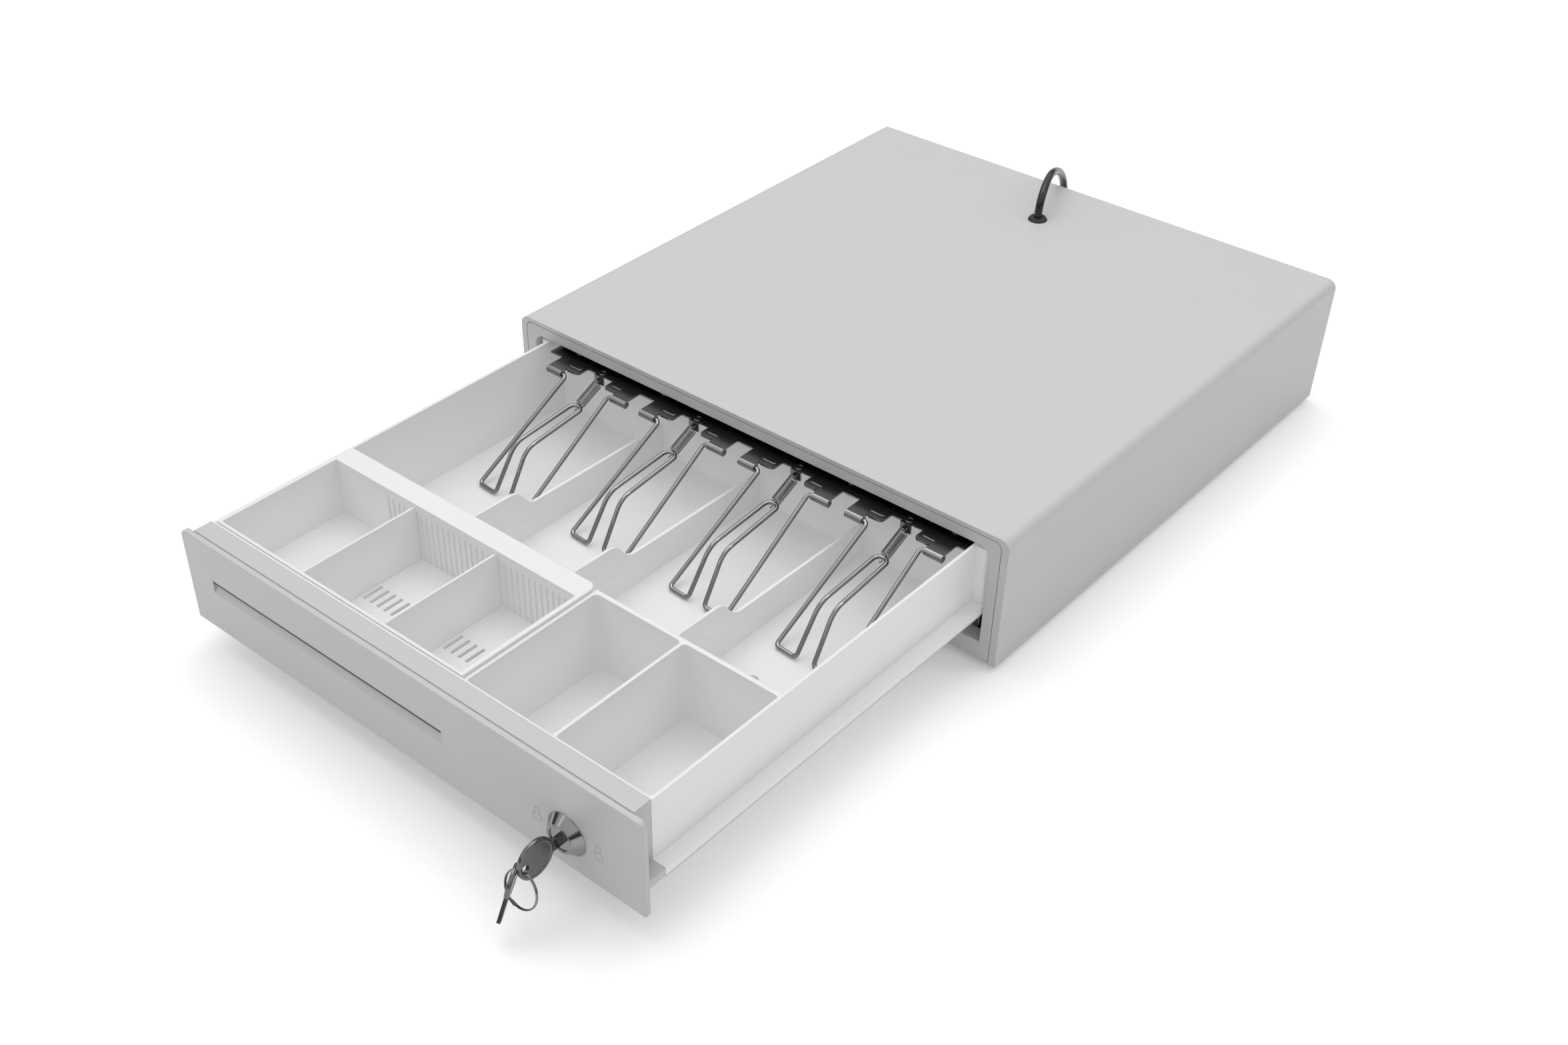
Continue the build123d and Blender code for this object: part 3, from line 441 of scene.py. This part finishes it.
def make_inner_springs():
    """The ejector's and the plunger's springs, along the long side of their CAD sleeves."""
    for node, turns, wire in (("ejector_spring", 9, 1.4), ("plunger_spring", 8, 0.7)):
        low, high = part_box(node)
        size = high - low
        middle = (low + high) / 2
        long_side = max(range(3), key=lambda i: size[i])
        reach = Vector((0, 0, 0))
        reach[long_side] = size[long_side] / 2 - wire / 2 * MM
        radius = min(size[i] for i in range(3) if i != long_side) / 2
        body = BODY_OF[node]
        start, end = middle - reach, middle + reach
        spring = helix_wire(node + "_coil", start, end, radius, wire * MM, turns, body, node, hooks=False)
        if node == "ejector_spring":
            spring = curve_to_mesh(spring, "ejector_spring_wire", "spring_steel", body, node)
            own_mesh(spring)


# ---------------------------------------------------------------- raised lines and rims
def raised_line(name, points, width, slot, body, closed=False):
    """A rounded line that stands half out of the surface its points lie on."""
    line = nurbs_cord(name, points, width, slot)
    spline = line.data.splines[0]
    line.data.bevel_resolution = 3
    if closed:
        spline.use_cyclic_u = True
        spline.use_endpoint_u = False
    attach(line, body)
    return line


def circle_points(centre, side, other, radius, count=16):
    radius = radius / cos(pi / count)
    turns = [2 * pi * i / count for i in range(count)]
    return [centre + (side * cos(turn) + other * sin(turn)) * radius for turn in turns]


# half of the bead round a clip's notch, from its middle outwards, X and Y
HALF_BEAD = [(6, 10), (13, 10), (14.5, 9), (14.5, 3), (14.5, -4), (15, -6), (19, -6), (24, -6)]


def make_strip_beads():
    """The bead pressed round each clip's notch, and the eye that the clip's spring hooks into."""
    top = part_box("clip_strip")[1].z
    path = [(-x, y) for x, y in reversed(HALF_BEAD)] + HALF_BEAD
    for number in range(1, 5):
        low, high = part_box(f"bill_clip_{number}")
        middle = (low.x + high.x) / 2
        points = [Vector((middle + x * MM, y * MM, top)) for x, y in path]
        raised_line(f"strip_bead_{number}", points, 0.9 * MM, "spring_steel", "drawer")
        eye = Vector((middle, 1.5 * MM, top + 0.3 * MM))
        ring = circle_points(eye, RIGHT, BACK, 2.4 * MM, 12)
        raised_line(f"spring_eye_{number}", ring, 0.8 * MM, "spring_steel", "drawer", closed=True)


# ---------------------------------------------------------------- drawer front
PLATE_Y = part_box("drawer_front")[0].y
LOCK_AT = Vector((135.0, -OPEN_TRAVEL, 44.5)) * MM
SLOT_MOUTH_X = (-165.9, 38.5)
SLOT_MOUTH_TOP = 59.62


def make_media_slot_shadow():
    """A black strip along the top of the media slot's ramp: painted shadow, standing for the shade under the
    slot's upper lip.
    """
    front, back = 0.5, 3.4
    section = [(front, SLOT_MOUTH_TOP), (front, 57.4), (back, 56.8), (back, SLOT_MOUTH_TOP)]
    mesh = bpy.data.meshes.new("media_slot_shadow_strip")
    form = bmesh.new()
    rings = [[form.verts.new((x * MM, PLATE_Y + y * MM, z * MM)) for y, z in section] for x in SLOT_MOUTH_X]
    for i in range(4):
        form.faces.new((rings[0][i - 1], rings[0][i], rings[1][i], rings[1][i - 1]))
    form.faces.new(rings[0])
    form.faces.new(rings[1][::-1])
    bmesh.ops.recalc_face_normals(form, faces=form.faces[:])
    form.to_mesh(mesh)
    form.free()
    # painted shadow: the strip is dressed in black plastic to stand for the shade in the slot
    new_piece("media_slot_shadow_strip", mesh, "black_plastic", "drawer")


NOTE_WALL_SIDES = (-83.2, 3.6, 90.4)  # X of the right-hand side of each note wall


def make_wall_marks():
    """The shallow U moulded beside the step of each note wall."""
    shape = [(-146, 62), (-144, 56), (-138, 50), (-128, 47), (-118, 45), (-112, 43)]
    for number, side_x in enumerate(NOTE_WALL_SIDES, 1):
        points = [Vector((side_x, y, z)) * MM for y, z in shape]
        raised_line(f"wall_mark_{number}", points, 0.5 * MM, "white_plastic", "drawer")


PADLOCK_CASE = [(-3, 0), (0, 0), (3, 0), (3, -2.5), (3, -5), (0, -5), (-3, -5), (-3, -2.5)]
PADLOCK_ARCH = [(-1.9, 0), (-1.9, 2), (-1.5, 3.6), (0, 4.3), (1.5, 3.6), (1.9, 2)]
MARK_LINE = 0.4 * MM


def make_lock_marks():
    """A plain closed padlock on one side of the lock and an open one on the other."""
    for name, x, lift in (("locked", -22.5, 0.0), ("unlocked", 23.0, 1.6)):
        at = Vector((LOCK_AT.x + x * MM, PLATE_Y, LOCK_AT.z + 1.0 * MM))
        case = [at + RIGHT * a * MM + UP * b * MM for a, b in PADLOCK_CASE]
        raised_line(f"{name}_case", case, MARK_LINE, "grey_plastic", "drawer", closed=True)
        lifted = [(a, b + lift) for a, b in PADLOCK_ARCH] + [(1.9, 0)]
        arch = [at + RIGHT * a * MM + UP * b * MM for a, b in lifted]
        raised_line(f"{name}_arch", arch, MARK_LINE, "grey_plastic", "drawer")


def make_lock_rims():
    """The bright rim round the lock's core, and the edge where the lock meets the plate."""
    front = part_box("lock_body")[0].y
    rims = (("lock_rim", front + 0.2 * MM, 8.7, 1.1), ("lock_foot", PLATE_Y, 13.9, 0.8))
    for name, y, radius, width in rims:
        rim = circle_points(Vector((LOCK_AT.x, y, LOCK_AT.z)), RIGHT, UP, radius * MM, 24)
        raised_line(name, rim, width * MM, "chrome", "drawer", closed=True)


# ---------------------------------------------------------------- keys
BOW_R, SPARE_BOW_R = 12.5, 10.0
RIM_INSET = 1.2               # from the edge of a bow to the middle of its rim
RIM_WIDTH = 2.9
SPARE_HOLE = 6.4              # from the middle of the spare key's bow to its hole
SPARE_FACE = Vector((0.845, 0.479, -0.236)).normalized()
SPARE_DOWN = Vector((0.085, -0.56, -0.825))
RING_TILT = 15.0


def make_key_rims():
    """The rolled rim of each key's bow."""
    low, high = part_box("key")
    bow = Vector(((low.x + high.x) / 2, low.y + BOW_R * MM, (low.z + high.z) / 2))
    rim = circle_points(bow, BACK, UP, (BOW_R - RIM_INSET) * MM, 24)
    raised_line("key_rim", rim, RIM_WIDTH * MM, "nickel_brass", "key", closed=True)
    down = (SPARE_DOWN - SPARE_FACE * SPARE_DOWN.dot(SPARE_FACE)).normalized()
    bow = JOINT_AT["spare_key_swing"] + down * SPARE_HOLE * MM
    rim = circle_points(bow, down, SPARE_FACE.cross(down), (SPARE_BOW_R - RIM_INSET) * MM, 24)
    raised_line("spare_key_rim", rim, RIM_WIDTH * MM, "nickel_brass", "spare_key", closed=True)


def make_split_ring():
    """The key ring: two turns of wire side by side."""
    low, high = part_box("key_ring")
    middle = (low + high) / 2
    tilt = radians(RING_TILT)
    normal = Vector((0, cos(tilt), -sin(tilt)))
    other = Vector((0, -sin(tilt), -cos(tilt)))
    radius = (high.x - low.x) / 2 - 0.75 * MM
    turns, spread, steps = 2.05, 1.3 * MM, 44
    points = []
    for i in range(steps + 1):
        turn = radians(100) + 2 * pi * turns * i / steps
        rise = (i / steps - 0.5) * spread
        points.append(middle + (RIGHT * cos(turn) + other * sin(turn)) * radius + normal * rise)
    ring = nurbs_cord("split_ring", points, 1.05 * MM, "spring_steel")
    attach(ring, "key_ring")
    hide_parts("key_ring")


# ---------------------------------------------------------------- inside of the casing
def folded_sheet(name, outline, y_front, y_back, thickness, slot, body):
    """A sheet folded along Y: the outline is its section in X and Z, inner side first."""
    mesh = bpy.data.meshes.new(name)
    form = bmesh.new()
    rows = []
    for y in (y_front, y_back):
        rows.append([form.verts.new((x, y, z)) for x, z in outline])
    for i in range(len(outline) - 1):
        form.faces.new((rows[0][i], rows[0][i + 1], rows[1][i + 1], rows[1][i]))
    bmesh.ops.solidify(form, geom=form.faces[:], thickness=thickness)
    form.to_mesh(mesh)
    form.free()
    return new_piece(name, mesh, slot, body)


def make_casing_shade():
    """A near-black sheet inside the casing: painted shade, standing for the shadow inside the casing."""
    low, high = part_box("housing_shell")
    bezel_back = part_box("front_bezel")[1].y
    wall = 1.7 * MM
    left, right, top = low.x + wall, high.x - wall, high.z - wall
    bottom = low.z + 6 * MM
    corner = 6 * MM
    outline = [(left, bottom), (left, top - corner), (left + corner, top)]
    outline += [(right - corner, top), (right, top - corner), (right, bottom)]
    front, back = bezel_back + 0.5 * MM, high.y - 3 * MM
    shade_sheet = folded_sheet("casing_shade_sheet", outline, front, back, 0.2 * MM, "painted_steel", "casing")
    # painted shade: the sheet keeps the casing's slot but is dressed near-black
    dress(shade_sheet, "painted_shade")


# the tie's loop round the turns, in cable diameters, out from their middle and up
TIE_LOOP = [
    (-1.12, 0.1),
    (-1.15, 1.5),
    (-1.1, 2.9),
    (-0.7, 3.6),
    (0, 4.1),
    (0.7, 3.6),
    (1.1, 2.9),
    (1.15, 1.5),
    (1.12, 0.1),
    (0, 0.09),
]


def make_cable_tie():
    """A thin tie round the put-away turns, on the side away from the casing."""
    low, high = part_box("cable_coil")
    centre = (low + high) / 2
    middle = (high.x - low.x) / 2 - CABLE_D
    at = Vector((centre.x, centre.y + middle, 0))
    points = [at + Vector((0, out, up)) * CABLE_D for out, up in TIE_LOOP]
    return raised_line("cable_tie", points, 1.1 * MM, "black_plastic", "casing", closed=True)


make_camera()
make_stage()
make_light()
dress_cad_nodes()
make_cable()
make_clip_springs()
make_inner_springs()
make_strip_beads()
make_media_slot_shadow()
make_wall_marks()
make_lock_marks()
make_lock_rims()
make_key_rims()
make_split_ring()
make_casing_shade()
